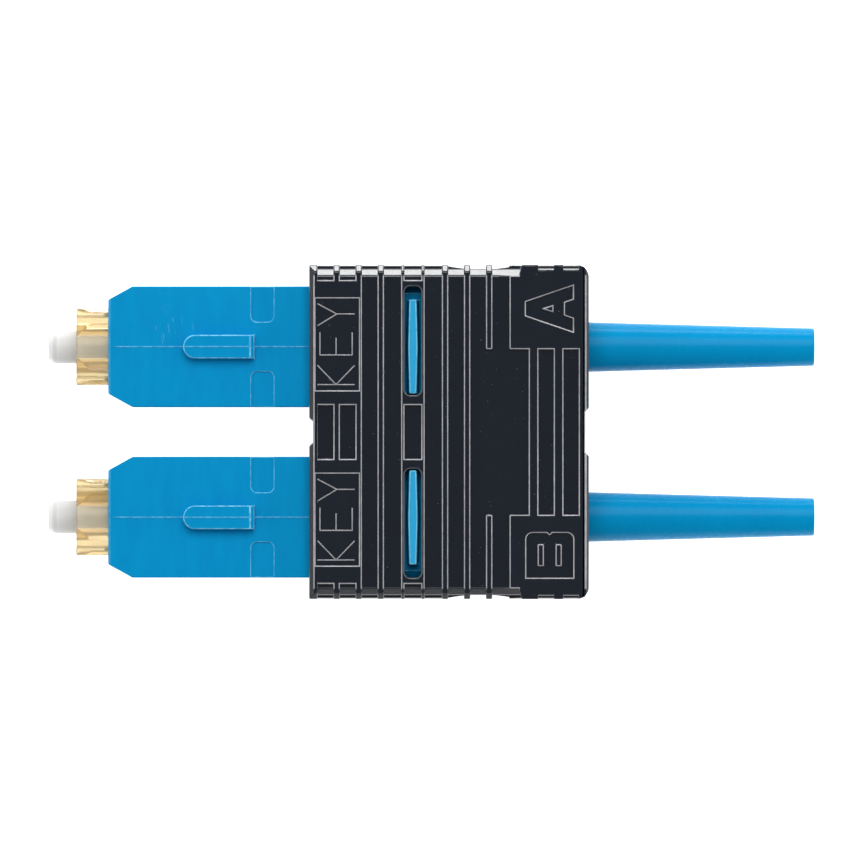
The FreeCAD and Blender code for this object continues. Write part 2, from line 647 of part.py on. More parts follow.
def pad_cuts():
    """The slanted front corners of the pads and the grooves in their outer sides."""
    side = CLIP_WIDTH / 2
    eave = side - CLIP_DRAFT
    tall = (LEDGE_HEIGHT, CLIP_HEIGHT / 2)
    floor = clip_block(RIB_HEIGHT, CLIP_BEVEL, CLIP_FRONT, CLIP_REAR)
    inner = eave - RIB_HEIGHT - CLIP_BEVEL
    corner = [
        (PAD_FRONT, inner), (PAD_FRONT + PAD_CORNER, inner),
        (PAD_FRONT + PAD_CORNER + PAD_CORNER_SLANT, side), (PAD_FRONT, side),
    ]
    corner = prism([Vector(x, y, LEDGE_HEIGHT) for x, y in corner], Vector(0, 0, CLIP_HEIGHT / 2 - LEDGE_HEIGHT))
    cuts = [corner.cut(floor), corner.mirror(ORIGIN, Y_AXIS).cut(floor)]
    bed = clip_block(PAD_GROOVE_DEPTH, PAD_BEVEL, PAD_FRONT, CLIP_REAR)
    for number in range(TAIL_RIBS):
        rear = CLIP_REAR - TAIL_RIM - number * (TAIL_BAND + TAIL_RIB)
        for span in mirrored_spans(eave - PAD_GROOVE_DEPTH - PAD_BEVEL, side):
            cuts.append(block((rear - TAIL_BAND, rear), span, tall).cut(bed))
    return cuts


def clip_hook(x):
    """A snap hook that stands down out of a clip half, with its barb on the side of plug a."""
    face = HOOK_THICKNESS / 2
    arm = block((x - HOOK_WIDTH / 2, x + HOOK_WIDTH / 2), across(face), (-HOOK_REACH, HOOK_ROOT))
    shoulder = BARB_HEIGHT - HOOK_REACH
    barb = prism(
        [Vector(x - HOOK_WIDTH / 2, face, shoulder), Vector(x - HOOK_WIDTH / 2, face + BARB_DEPTH, shoulder),
         Vector(x - HOOK_WIDTH / 2, face, -HOOK_REACH)],
        Vector(HOOK_WIDTH, 0, 0),
    )
    return arm.fuse(barb)


def clip_socket(x):
    """The pocket in a clip half that takes the other half's hook."""
    face = HOOK_THICKNESS / 2
    sides = (x - HOOK_WIDTH / 2 - FIT_GAP, x + HOOK_WIDTH / 2 + FIT_GAP)
    back = -face - HOOK_FLEX
    throat = HOOK_REACH - BARB_HEIGHT - FIT_GAP
    depth = HOOK_REACH + FIT_GAP
    shaft = block(sides, (back, face + FIT_GAP), (-depth, 0))
    undercut = block(sides, (back, face + BARB_DEPTH + FIT_GAP), (-depth, -throat))
    return flipped(shaft.fuse(undercut))


def clip_pockets():
    """The room inside a clip half for both plugs."""
    pockets = []
    stop = HOUSING_REAR + FIT_GAP
    rear_wall = CLIP_REAR - CLIP_REAR_WALL
    for side in (-1, 1):
        middle = side * PITCH / 2
        half_width = HOUSING_WIDTH / 2 + FIT_GAP
        height = HOUSING_HEIGHT / 2 + FIT_GAP
        pockets.append(block((CLIP_FRONT, stop), (middle - half_width, middle + half_width), across(height)))
        half_width -= CLIP_STOP_STEP
        height -= CLIP_STOP_STEP
        pockets.append(block((stop, rear_wall), (middle - half_width, middle + half_width), across(height)))
        hole = rod(BOOT_NECK_DIAMETER / 2 + BOOT_GAP, rear_wall, CLIP_REAR)
        hole.translate(Vector(0, middle, 0))
        pockets.append(hole)
    for span in mirrored_spans(SLOT_INNER, SLOT_OUTER):
        slot = block((SLOT_X - SLOT_WIDTH / 2, SLOT_X + SLOT_WIDTH / 2), span, (0, CLIP_HEIGHT / 2))
        pockets.append(slot.makeFillet(SLOT_ROUND, edges_along(slot, Z_AXIS, lambda p: True)))
    return pockets


def mark_fields():
    """The shallow fields in front of the slots that hold the key marks."""
    top = CLIP_HEIGHT / 2
    anchor = SLOT_WIDTH / 2 + SLOT_BORDER_WIDTH / 2
    rear = SLOT_X - anchor - 2 * RIB_PITCH + RIB_WIDTH / 2 - MARK_BORDER
    return [block((CLIP_FRONT + MARK_SETBACK, rear), span, (top - MARK_DEPTH, top))
            for span in mirrored_spans(MARK_INNER, MARK_OUTER)]


def clip_half(hook_from_front, socket_from_front, fields):
    """A half of the clip, open side down."""
    floor = clip_block(RIB_HEIGHT, CLIP_BEVEL, CLIP_FRONT, CLIP_REAR)
    shell = floor.fuse([clip_ledge(), *clip_relief()]).cut(pad_cuts())
    shell = shell.common(clip_plan()).common(clip_side())
    shell = shell.fuse(clip_hook(CLIP_FRONT + hook_from_front))
    shell = shell.cut([*clip_pockets(), clip_socket(CLIP_FRONT + socket_from_front), *fields])
    return shell.removeSplitter()


def save(name, shape):
    solid = shape.Solids[0] if len(shape.Solids) == 1 else shape
    solid.exportStep(f"parts/{name}.step")


save("clip_upper", clip_half(HOOK_FROM_FRONT, SOCKET_FROM_FRONT, mark_fields()))
save("clip_lower", flipped(clip_half(SOCKET_FROM_FRONT, HOOK_FROM_FRONT, [])))

PLUG_PIECES = {
    "outer_housing": outer_housing(),
    "plug_frame": plug_frame(),
    "ferrule": ferrule(),
    "ferrule_flange": ferrule_flange(),
    "guide_tube": guide_tube(),
    "spring": spring(),
    "rear_body": rear_body(),
    "crimp_ring": crimp_ring(),
    "boot": boot(),
}
for letter, middle in (("a", PITCH / 2), ("b", -PITCH / 2)):
    for name, shape in PLUG_PIECES.items():
        save(f"{name}_{letter}", shape.translated(Vector(0, middle, 0)))
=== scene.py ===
import math

import bmesh
import bpy
from mathutils import Matrix, Vector
from mathutils.geometry import intersect_point_line


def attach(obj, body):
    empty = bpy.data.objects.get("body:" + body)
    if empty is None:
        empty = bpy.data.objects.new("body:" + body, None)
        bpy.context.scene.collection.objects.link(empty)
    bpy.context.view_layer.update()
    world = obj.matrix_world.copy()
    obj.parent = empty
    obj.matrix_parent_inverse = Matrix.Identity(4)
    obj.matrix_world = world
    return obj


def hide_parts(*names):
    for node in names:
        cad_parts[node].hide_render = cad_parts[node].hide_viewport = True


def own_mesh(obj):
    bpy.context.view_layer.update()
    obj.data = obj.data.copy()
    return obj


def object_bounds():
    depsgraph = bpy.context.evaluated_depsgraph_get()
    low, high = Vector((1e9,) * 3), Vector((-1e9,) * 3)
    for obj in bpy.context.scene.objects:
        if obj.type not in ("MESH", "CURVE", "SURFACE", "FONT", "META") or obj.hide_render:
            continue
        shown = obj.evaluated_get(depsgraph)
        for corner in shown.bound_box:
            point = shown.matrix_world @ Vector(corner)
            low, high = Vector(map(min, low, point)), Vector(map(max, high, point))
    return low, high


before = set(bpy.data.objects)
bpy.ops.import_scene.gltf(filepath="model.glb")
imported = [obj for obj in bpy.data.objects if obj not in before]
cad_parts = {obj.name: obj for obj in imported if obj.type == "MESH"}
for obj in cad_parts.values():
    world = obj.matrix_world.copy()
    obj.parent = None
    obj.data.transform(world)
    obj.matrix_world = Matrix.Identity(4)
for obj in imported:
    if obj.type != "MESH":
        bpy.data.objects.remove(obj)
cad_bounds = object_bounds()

# Dressing of a duplex fibre connector: moulded edges, raised marks, mould lines and finishes.
# Metres, in the frame of the model: +X back to the boots, +Y to plug a, +Z to the side of the keys.
# What a finish or an outline reads is in millimetres instead, and its comment says so.
MM = 0.001
SIDES = {"a": 1, "b": -1}

# Picture: looking straight down on the middle of the connector
PHOTO_MIDDLE_X = 28.68 * MM
CAMERA_HEIGHT = 900 * MM
FIELD_WIDTH = 64.6 * MM
SENSOR = 36.0
NEAREST_SEEN = 10 * MM

# Light panels: place from the middle of the picture, width, depth and power. The far panel is the main
# light. The far strip lies low, so that the slopes along the far side of the clip send it to the camera.
LIGHTS = (
    ("left_panel", (-0.5, 0, 0.2), 1.0, 0.15, 0.95),
    ("right_panel", (0.5, 0, 0.2), 1.0, 0.15, 0.9),
    ("far_panel", (0, 0.3, 0.52), 0.5, 0.4, 2.45),
    ("far_strip", (0, 0.45, 0.02), 0.16, 0.06, 0.5),
)
ROOM_GLOW = 0.26

# Floor: half its width, how far it lies below the clip, and its own light
FLOOR_REACH = 1.5
FLOOR_GAP = 0.02 * MM
FLOOR_GLOW = 1.0

# Rounding of moulded edges: the full radius where both faces leave room for it, and what fits elsewhere
WELD = 0.002 * MM
FLAT_ANGLE = math.radians(1)
SHARP_ANGLE = math.radians(20)
EDGE_SEGMENTS = 2
CLIP_EDGE = 0.085 * MM
HOUSING_EDGE = 0.08 * MM
FRAME_EDGE = 0.06 * MM
FERRULE_EDGE = 0.16 * MM
BOOT_EDGE = 0.12 * MM

# Room for a rounding. It is measured from these shares of an edge's length, to what lies beside the edge:
# a way counts when less than the share BESIDE of it runs along the edge. A face whose normal rises less
# than WALL_SLOPE is a wall, and a top shares its width between two roundings.
ROOM_PLACES = (0.2, 0.5, 0.8)
BESIDE = 0.9
WALL_SLOPE = 0.5
TOP_SHARE = 0.5
LENGTH_ROOM = 4
SPARE_ROOM = 1.05
RIM_BEND = math.radians(30)

# Long sides of the clip: what lies beyond these two places is drawn out
SIDE_HEIGHT = 4.4 * MM
SIDE_Y = 11.4 * MM
SIDE_DRAW = 0.18 * MM
PAD_EDGE_Y = 12 * MM
PAD_DRAW = 0.27 * MM

# Rear corners of the clip: middle and radius of their round, where it begins beyond that middle, and what
# it takes of the pads' rear edges
CORNER_X = 39.34 * MM
CORNER_Y = 11.5 * MM
CORNER_ROUND = 1.0 * MM
CORNER_BEGIN = 0.25 * MM
CLIP_REAR = 40.33 * MM
PAD_REAR = 40.1 * MM
PAD_ROUND = 0.6 * MM

# Key mark raised in a field of the clip: strokes in millimetres from the middle of the field
CLIP_TOP = 5.3 * MM
MARK_FIELD = (21.55, 6.52)
MARK_FLOOR = 5.18 * MM
MARK_TOP = 5.28 * MM
MARK_STROKE = 0.09 * MM
MARK_EDGE = 0.04 * MM
KEY_MARK = (
    ((1.35, -3.0), (-1.35, -3.0)), ((0, -3.0), (-1.35, -1.6)), ((0, -3.0), (1.35, -1.6)),
    ((1.2, -0.8), (-1.2, -0.8)), ((-1.2, -0.8), (-1.2, 0.85)),
    ((0, -0.8), (0, 0.45)), ((1.2, -0.8), (1.2, 0.85)),
    ((1.35, 2.25), (0.05, 2.25)), ((0.05, 2.25), (-1.35, 1.4)), ((0.05, 2.25), (-1.35, 3.0)),
)

# How deep raised marks and mould lines reach into what carries them
MARK_ROOT = 0.03 * MM

# Letters sunk in the pads of the clip, in millimetres from the middle of the pad: outline, its islands and
# the corners of the outline that are bowls
PAD_MIDDLE = (37.42, 9.17)
PAD_LETTER_DEPTH = 0.2 * MM
PAD_LETTERS = {
    "a": (
        ((-1.76, 0.5), (-1.76, -0.5), (1.73, -1.69), (1.73, -0.74),
         (1.06, -0.51), (1.06, 0.51), (1.73, 0.74), (1.73, 1.69)),
        (((-0.62, 0), (0.29, -0.29), (0.29, 0.29)),),
        (),
    ),
    "b": (
        ((-1.73, -1.66), (1.76, -1.66), (1.76, 1.66), (0.22, 1.66),
         (0, 1.46), (-0.22, 1.66), (-1.73, 1.66)),
        (((-0.89, -0.81), (-0.42, -0.81), (-0.42, 0.84), (-0.89, 0.84)),
         ((0.44, -0.81), (0.91, -0.81), (0.91, 0.84), (0.44, 0.84))),
        ((1.76, 1.66), (-1.73, 1.66)),
    ),
}
PAD_BOWL_RADIUS = 0.46 * MM
PAD_BOWL_SEGMENTS = 4

# Mould line along the top of each housing and its key: runs from and to, in millimetres, and their height
PLUG_Y = 6.35
HOUSING_TOP = 3.7 * MM
KEY_TOP = 4.5 * MM
FLASH_WIDTH = 0.1 * MM
FLASH_HEIGHT = 0.04 * MM
FLASH_EDGE = 0.03 * MM
# Share of the painted edge highlight laid over the whole mould line
FLASH_HIGHLIGHT = 0.55
FLASH_RUNS = ((4.95, 10.2, HOUSING_TOP), (10.3, 15.1, KEY_TOP), (15.5, 20.0, HOUSING_TOP))

# Clip, in millimetres: heights between which its edges grow from plain to a full painted highlight, and
# distances from its middle between which its faces turn down to the long sides
CLIP_HIGHLIGHT_HEIGHT = (5.12, 5.22)
CLIP_SLOPE = (11.55, 11.75)

# Slots of the clip, in millimetres: their middle, where their sides and ends stop, and how much painted
# edge highlight their rims lose, as painted shade in the slots
SLOT_MIDDLE = (27.25, 6.79)
SLOT_SIDES = (0.73, 0.77)
SLOT_ENDS = (4.2, 4.3)
SLOT_SHADE = 0.75

# Housing, in millimetres: where its front edge ends, heights that only the ridges in the slots reach, and
# the place and reach of small scuffs before the key of plug a
HOUSING_FRONT = (5.0, 5.4)
RIDGE_CREST = (4.7, 5.1)
SCUFF_PLACE = (9.4, 7.8, 3.7)
SCUFF_REACH = (0.76, 1.9)

# Distances from the fibre axis, in millimetres, between which the wall of the plug frame thickens
FRAME_WALL = (0.75, 1.2)

# Colours: red, green, blue and alpha
CLIP_DEEP = (0.005, 0.0085, 0.016, 1)
CLIP_PALE = (0.008, 0.012, 0.0215, 1)
CLIP_DUST = (0.3, 0.31, 0.34, 1)
# Pale grey of the painted highlight on the clip's rounded edges
CLIP_HIGHLIGHT = (0.55, 0.55, 0.58, 1)
HOUSING_DEEP = (0, 0.255, 0.565, 1)
HOUSING_PALE = (0, 0.325, 0.65, 1)
HOUSING_SCUFF = (0.2, 0.55, 0.82, 1)
# Light blue painted on the crests of the ridges in the slots, as their lit tops
HOUSING_CREST_LIGHT = (0.1, 0.62, 0.92, 1)
# Light blue of the painted highlight on the housing's rounded edges and mould lines
HOUSING_HIGHLIGHT = (0.25, 0.7, 0.95, 1)
BOOT_DEEP = (0, 0.27, 0.575, 1)
BOOT_PALE = (0, 0.315, 0.635, 1)
AMBER_THIN = (1, 0.94, 0.79, 1)
AMBER_THICK = (0.95, 0.74, 0.39, 1)
# Brown of the painted shade along the frame's rounded edges
AMBER_EDGE_SHADE = (0.42, 0.25, 0.08, 1)
CERAMIC_DEEP = (0.62, 0.62, 0.625, 1)
CERAMIC_PALE = (0.66, 0.66, 0.665, 1)
# Grey of the painted shade on the ferrule's rounded edges
CERAMIC_EDGE_SHADE = (0.36, 0.36, 0.37, 1)
TUBE_DEEP = (0.78, 0.78, 0.75, 1)
TUBE_PALE = (0.86, 0.86, 0.84, 1)
FLOOR_DEEP = (0.9, 0.9, 0.9, 1)
FLOOR_PALE = (0.93, 0.93, 0.93, 1)
ROOM_WHITE = (1, 1, 1, 1)

# Metals inside: the two colours of their rings, and their least roughness
METALS = {
    "spring_steel": ((0.42, 0.42, 0.43, 1), (0.6, 0.6, 0.6, 1), 0.25),
    "flange_metal": ((0.5, 0.5, 0.48, 1), (0.7, 0.7, 0.68, 1), 0.22),
    "body_metal": ((0.5, 0.48, 0.44, 1), (0.68, 0.66, 0.6, 1), 0.25),
    "crimp_metal": ((0.55, 0.48, 0.34, 1), (0.74, 0.66, 0.5, 1), 0.3),
}


class Value:
    """A node's output. Arithmetic on it adds Math nodes."""

    def __init__(self, finish, socket):
        self.finish = finish
        self.socket = socket

    def math(self, operation, *inputs):
        return self.finish.node("ShaderNodeMath", {"operation": operation}, dict(enumerate(inputs)))

    def __add__(self, other):
        return self.math("ADD", self, other)

    def __sub__(self, other):
        return self.math("SUBTRACT", self, other)

    def __rsub__(self, other):
        return self.math("SUBTRACT", other, self)

    def __mul__(self, other):
        return self.math("MULTIPLY", self, other)

    def size(self):
        return self.math("ABSOLUTE", self)

    __radd__ = __add__
    __rmul__ = __mul__


class Finish:
    """A procedural material whose patterns are measured in millimetres on the object."""

    def __init__(self, name, **constants):
        self.material = bpy.data.materials.new(name)
        self.material.use_nodes = True
        self.tree = self.material.node_tree
        self.shader = self.tree.nodes["Principled BSDF"]
        self.set(**constants)
        place = self.node("ShaderNodeTexCoord", {}, {}, "Object")
        self.place = self.node("ShaderNodeVectorMath", {"operation": "SCALE"}, {0: place, "Scale": 1 / MM})

    def node(self, kind, settings, inputs, output=0):
        made = self.tree.nodes.new(kind)
        for name, value in settings.items():
            setattr(made, name, value)
        for name, value in inputs.items():
            self.feed(made.inputs[name], value)
        return Value(self, made.outputs[output])

    def feed(self, socket, value):
        if isinstance(value, Value):
            self.tree.links.new(value.socket, socket)
        else:
            socket.default_value = value

    def set(self, **inputs):
        """Values or numbers for the shader's sockets, named with _ for each space."""
        for socket, value in inputs.items():
            self.feed(self.shader.inputs[socket.replace("_", " ")], value)

    def along(self, axis):
        """The place along one axis of the object, in millimetres."""
        return self.node("ShaderNodeSeparateXYZ", {}, {0: self.place}, axis)

    def stretched(self, x, y, z):
        """The place on the object with each axis scaled, so that a pattern comes out drawn or packed."""
        return self.node("ShaderNodeVectorMath", {"operation": "MULTIPLY"}, {0: self.place, 1: (x, y, z)})

    def noise(self, scale, detail, place=None):
        inputs = {"Vector": place or self.place, "Scale": scale, "Detail": detail}
        return self.node("ShaderNodeTexNoise", {}, inputs, "Fac")

    def step(self, value, low, high):
        """0 below low, 1 above high, smooth between."""
        inputs = {"Value": value, "From Min": low, "From Max": high}
        return self.node("ShaderNodeMapRange", {"interpolation_type": "SMOOTHSTEP"}, inputs, "Result")

    def mixed(self, factor, first, second):
        settings = {"data_type": "RGBA", "clamp_factor": True}
        return self.node("ShaderNodeMix", settings, {0: factor, 6: first, 7: second}, 2)

    def painted_edge(self):
        """1 on the rounded edges of a moulding and 0 on the rest: the faces where edge highlight and edge
        shade are painted.
        """
        return self.node("ShaderNodeAttribute", {"attribute_name": "painted_edge"}, {}, "Fac")

    def bump(self, height, distance, strength):
        inputs = {"Height": height, "Distance": distance, "Strength": strength}
        self.set(Normal=self.node("ShaderNodeBump", {}, inputs, "Normal"))


def clip_finish():
    """Glossy blue-black moulding with a few dust specks and a painted pale highlight along the edges of its
    faces.
    """
    finish = Finish("clip_plastic", IOR=1.5)
    body = finish.mixed(finish.noise(0.9, 3.0), CLIP_DEEP, CLIP_PALE)
    specks = finish.step(finish.noise(5.5, 1.0), 0.775, 0.81)
    dusty = finish.mixed(specks * 0.35, body, CLIP_DUST)
    height = finish.along("Z")
    # Painted highlight: rounded edges turn pale, fully on the top faces, less below them, not past the slopes
    # of the long sides
    highlight_strength = finish.step(height * height, *(limit ** 2 for limit in CLIP_HIGHLIGHT_HEIGHT)) * 0.85 + 0.15
    across = finish.along("Y").size()
    inside = 1 - finish.step(across, *CLIP_SLOPE)
    # The slot rims keep little of the painted highlight, as painted shade in the slots
    beside_slot = finish.step((finish.along("X") - SLOT_MIDDLE[0]).size(), *SLOT_SIDES)
    past_slot = finish.step((across - SLOT_MIDDLE[1]).size(), *SLOT_ENDS)
    clear_of_slot_shade = 1 - (1 - beside_slot) * (1 - past_slot) * SLOT_SHADE
    edge_highlight = finish.painted_edge() * highlight_strength * inside * clear_of_slot_shade * (finish.noise(1.3, 3.0) * 0.8 + 0.5)
    finish.set(Base_Color=finish.mixed(edge_highlight * 0.85, dusty, CLIP_HIGHLIGHT))
    finish.set(Roughness=finish.noise(2.0, 4.0) * 0.05 + 0.04)
    finish.bump(finish.noise(9.0, 3.0), 0.01 * MM, 0.08)
    return finish.material


def housing_finish():
    """Satin blue moulding with faint drawn streaks, a painted pale highlight on its edges and on the crests
    of its ridges, and small scuffs on top.
    """
    finish = Finish("housing_plastic", IOR=1.5, Specular_IOR_Level=0.05)
    streaks = finish.noise(1.0, 4.0, finish.stretched(1.6, 0.35, 0.35))
    body = finish.mixed(streaks, HOUSING_DEEP, HOUSING_PALE)
    scuffs = finish.step(finish.noise(1.0, 5.0, finish.stretched(5.0, 0.8, 0.8)), 0.58, 0.68)
    ends = {0: finish.place, 1: SCUFF_PLACE}
    away = finish.node("ShaderNodeVectorMath", {"operation": "DISTANCE"}, ends, "Value")
    zone = 1 - finish.step(away, *SCUFF_REACH)
    scuffed = finish.mixed(scuffs * zone * 0.45, body, HOUSING_SCUFF)
    # Painted light: the ridge crests in the slots turn lighter blue
    crest = finish.step(finish.along("Z"), *RIDGE_CREST)
    crest_lit = finish.mixed(crest * 0.3, scuffed, HOUSING_CREST_LIGHT)
    # Painted highlight on the rounded edges: weaker at the front edge, stronger on the ridge crests
    highlight_strength = (finish.step(finish.along("X"), *HOUSING_FRONT) * 0.8 + 0.2) * (crest * 0.4 + 0.7)
    edge_highlight = finish.painted_edge() * highlight_strength * (finish.step(finish.noise(2.2, 3.0), 0.38, 0.6) * 0.7 + 0.5)
    finish.set(Base_Color=finish.mixed(edge_highlight, crest_lit, HOUSING_HIGHLIGHT))
    finish.set(Roughness=finish.noise(3.0, 3.0) * 0.12 + 0.4)
    finish.bump(finish.noise(14.0, 2.0), 0.006 * MM, 0.4)
    return finish.material


def boot_finish():
    """Smooth blue elastomer with a soft gloss."""
    finish = Finish("boot_rubber", IOR=1.48, Specular_IOR_Level=0.08)
    finish.set(Base_Color=finish.mixed(finish.noise(0.35, 3.0), BOOT_DEEP, BOOT_PALE))
    finish.set(Roughness=finish.noise(2.0, 3.0) * 0.1 + 0.22)
    finish.bump(finish.noise(11.0, 2.0), 0.008 * MM, 0.15)
    return finish.material


def frame_finish():
    """Clear amber moulding with faint flow lines, deeper where its wall is thick, with painted brown shade
    along its rounded edges.
    """
    finish = Finish("frame_plastic", IOR=1.5, Transmission_Weight=0.75)
    off_axis = (finish.along("Y").size() - PLUG_Y).size()
    flow = finish.noise(0.6, 2.0, finish.stretched(0.3, 1.0, 1.0))
    deep = finish.step(off_axis, *FRAME_WALL) * (flow * 0.6 + 0.6)
    body = finish.mixed(deep, AMBER_THIN, AMBER_THICK)
    # Painted shade: the rounded edges turn brown
    finish.set(Base_Color=finish.mixed(finish.painted_edge() * 0.6, body, AMBER_EDGE_SHADE))
    finish.set(Roughness=finish.noise(3.0, 2.0) * 0.06 + 0.06)
    return finish.material


def ceramic_finish():
    """Polished white ceramic that lets a little light through, with painted grey shade on its rounded edges.
    """
    finish = Finish(
        "ferrule_ceramic", IOR=1.5, Specular_IOR_Level=0.1, Subsurface_Weight=1.0,
        Subsurface_Radius=(1.0, 1.0, 1.0), Subsurface_Scale=3.0 * MM)
    body = finish.mixed(finish.noise(1.2, 3.0), CERAMIC_DEEP, CERAMIC_PALE)
    # Painted shade: the rounded edges turn grey
    finish.set(Base_Color=finish.mixed(finish.painted_edge() * 0.25, body, CERAMIC_EDGE_SHADE))
    finish.set(Roughness=finish.noise(6.0, 3.0) * 0.08 + 0.12)
    return finish.material


def metal_finish(name):
    """Turned or drawn metal with fine rings round the fibre axis."""
    dark, light, roughness = METALS[name]
    finish = Finish(name, Metallic=1.0)
    rings = finish.noise(1.0, 2.0, finish.stretched(14.0, 0.6, 0.6))
    finish.set(Base_Color=finish.mixed(rings, dark, light))
    finish.set(Roughness=rings * 0.15 + roughness)
    return finish.material


def tube_finish():
    """Plain white extruded tube."""
    finish = Finish("tube_plastic")
    cloud = finish.noise(0.8, 3.0)
    finish.set(Base_Color=finish.mixed(cloud, TUBE_DEEP, TUBE_PALE))
    finish.set(Roughness=cloud * 0.15 + 0.4)
    return finish.material


def floor_finish():
    """Pale matt paint with a glow of its own."""
    finish = Finish("floor_paint", Roughness=0.9, Specular_IOR_Level=0.1, Emission_Strength=FLOOR_GLOW)
    finish.set(Base_Color=finish.mixed(finish.noise(0.02, 2.0), FLOOR_DEEP, FLOOR_PALE))
    return finish.material


def meshed(name, shape):
    """A mesh made of a bmesh, which is used up."""
    mesh = bpy.data.meshes.new(name)
    shape.to_mesh(mesh)
    shape.free()
    return mesh


def linked(name, data):
    """An object in the scene that shows a mesh, a light or a camera."""
    made = bpy.data.objects.new(name, data)
    bpy.context.scene.collection.objects.link(made)
    return made


def piece(name, shape, body, material):
    """A finished piece from a bmesh, riding on a body of the model."""
    mesh = meshed(name, shape)
    mesh.materials.append(material)
    made = linked(name, mesh)
    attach(made, body)
    return made


def copied(node):
    """A bmesh of a solid, with its loose triangles joined."""
    shape = bmesh.new()
    shape.from_mesh(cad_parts[node].data)
    bmesh.ops.remove_doubles(shape, verts=shape.verts, dist=WELD)
    return shape


def is_outer(line):
    """Whether an edge of a closed shape stands out sharply."""
    return line.is_manifold and line.is_convex and line.calc_face_angle() > SHARP_ANGLE


def way_to(point, line):
    """The way from a point to the nearest place on an edge."""
    start, end = (corner.co for corner in line.verts)
    share = intersect_point_line(point, start, end)[1]
    return start.lerp(end, min(max(share, 0), 1)) - point


def room_beside(line):
    """The room that an edge leaves for a rounding: the width of a wall, or half the width of a top."""
    start, end = line.verts
    along = (end.co - start.co).normalized()
    rooms = [LENGTH_ROOM * line.calc_length()]
    for face in line.link_faces:
        share = 1 if abs(face.normal.z) < WALL_SLOPE else TOP_SHARE
        others = [
            other for other in face.edges
            if start not in other.verts and end not in other.verts
            and (not other.is_manifold or other.calc_face_angle() > SHARP_ANGLE)]
        for place in ROOM_PLACES:
            ways = [way_to(start.co.lerp(end.co, place), other) for other in others]
            rooms += [share * way.length for way in ways if abs(way.dot(along)) < BESIDE * way.length]
    return min(rooms)


def even_out(shape, weight):
    """Give all the edges of one smooth rim the smallest rounding that any of them has room for."""
    rims = [line for line in shape.edges if line[weight]]
    settled = False
    while not settled:
        settled = True
        for line in rims:
            for corner in line.verts:
                ahead = line.other_vert(corner).co - corner.co
                for other in corner.link_edges:
                    behind = corner.co - other.other_vert(corner).co
                    if 0 < other[weight] < line[weight] and ahead.angle(behind) < RIM_BEND:
                        line[weight] = other[weight]
                        settled = False


def weld(shape):
    """Merge the doubles of a shape and clear the lines across its flat faces, the longest first."""
    bmesh.ops.remove_doubles(shape, verts=shape.verts, dist=WELD)
    shape.normal_update()
    across = [line for line in shape.edges if line.is_manifold and line.calc_face_angle() < FLAT_ANGLE]
    for line in sorted(across, key=lambda line: -line.calc_length()):
        if line.is_valid and line.is_manifold:
            first, second = line.link_faces
            if len(set(first.edges) & set(second.edges)) == 1:
                bmesh.utils.face_join((first, second))
    bmesh.ops.dissolve_limit(shape, angle_limit=FLAT_ANGLE, verts=shape.verts, edges=[])


def on_top(corner):
    """Whether a corner of the clip lies on one of its two outermost faces."""
    return abs(corner.co.z) > CLIP_TOP - WELD


def steepen(shape):
    """Draw the upper ends of the clip's long sides out until the sides stand nearly upright."""
    for corner in shape.verts:
        if abs(corner.co.z) > SIDE_HEIGHT and abs(corner.co.y) > SIDE_Y:
            pad_edge = on_top(corner) and abs(corner.co.y) > PAD_EDGE_Y
            corner.co.y += math.copysign(PAD_DRAW if pad_edge else SIDE_DRAW, corner.co.y)


def round_pads(shape):
    """Bring the drawn-out rear corners of the clip's pads back to the round of the solid."""
    tops = [
        corner for corner in shape.verts
        if corner.co.x > PAD_REAR and abs(corner.co.y) > PAD_EDGE_Y and on_top(corner)]
    for corner in tops:
        for line in corner.link_edges:
            end = line.other_vert(corner)
            if line.calc_length() > PAD_ROUND and end.co.x > PAD_REAR and on_top(end):
                begin = bmesh.utils.edge_split(line, corner, PAD_ROUND / line.calc_length())[1]
                rear = [foot for face in begin.link_faces for foot in face.verts if foot.co.x > CLIP_REAR]
                foot = min(rear, key=lambda foot: (foot.co - begin.co).length)
                bmesh.ops.connect_vert_pair(shape, verts=[begin, foot])
                break
    for corner in shape.verts:
        place = Vector((corner.co.x - CORNER_X, abs(corner.co.y) - CORNER_Y))
        in_corner = abs(corner.co.z) > SIDE_HEIGHT and place.x > 0 and place.y > CORNER_BEGIN
        if in_corner and place.length > CORNER_ROUND:
            place *= CORNER_ROUND / place.length
            corner.co.x = CORNER_X + place.x
            corner.co.y = math.copysign(CORNER_Y + place.y, corner.co.y)


def applied(shape, kind, settings):
    """A shape with a modifier applied. Two empty slots let a bevel put its faces in the second."""
    mesh = meshed("work", shape)
    for slot in range(2):
        mesh.materials.append(None)
    work = linked("work", mesh)
    modifier = work.modifiers.new("work", kind)
    for name, value in settings.items():
        setattr(modifier, name, value)
    made = bpy.data.meshes.new_from_object(work.evaluated_get(bpy.context.evaluated_depsgraph_get()))
    result = bmesh.new()
    result.from_mesh(made)
    bpy.data.meshes.remove(made)
    bpy.data.meshes.remove(mesh)
    return result


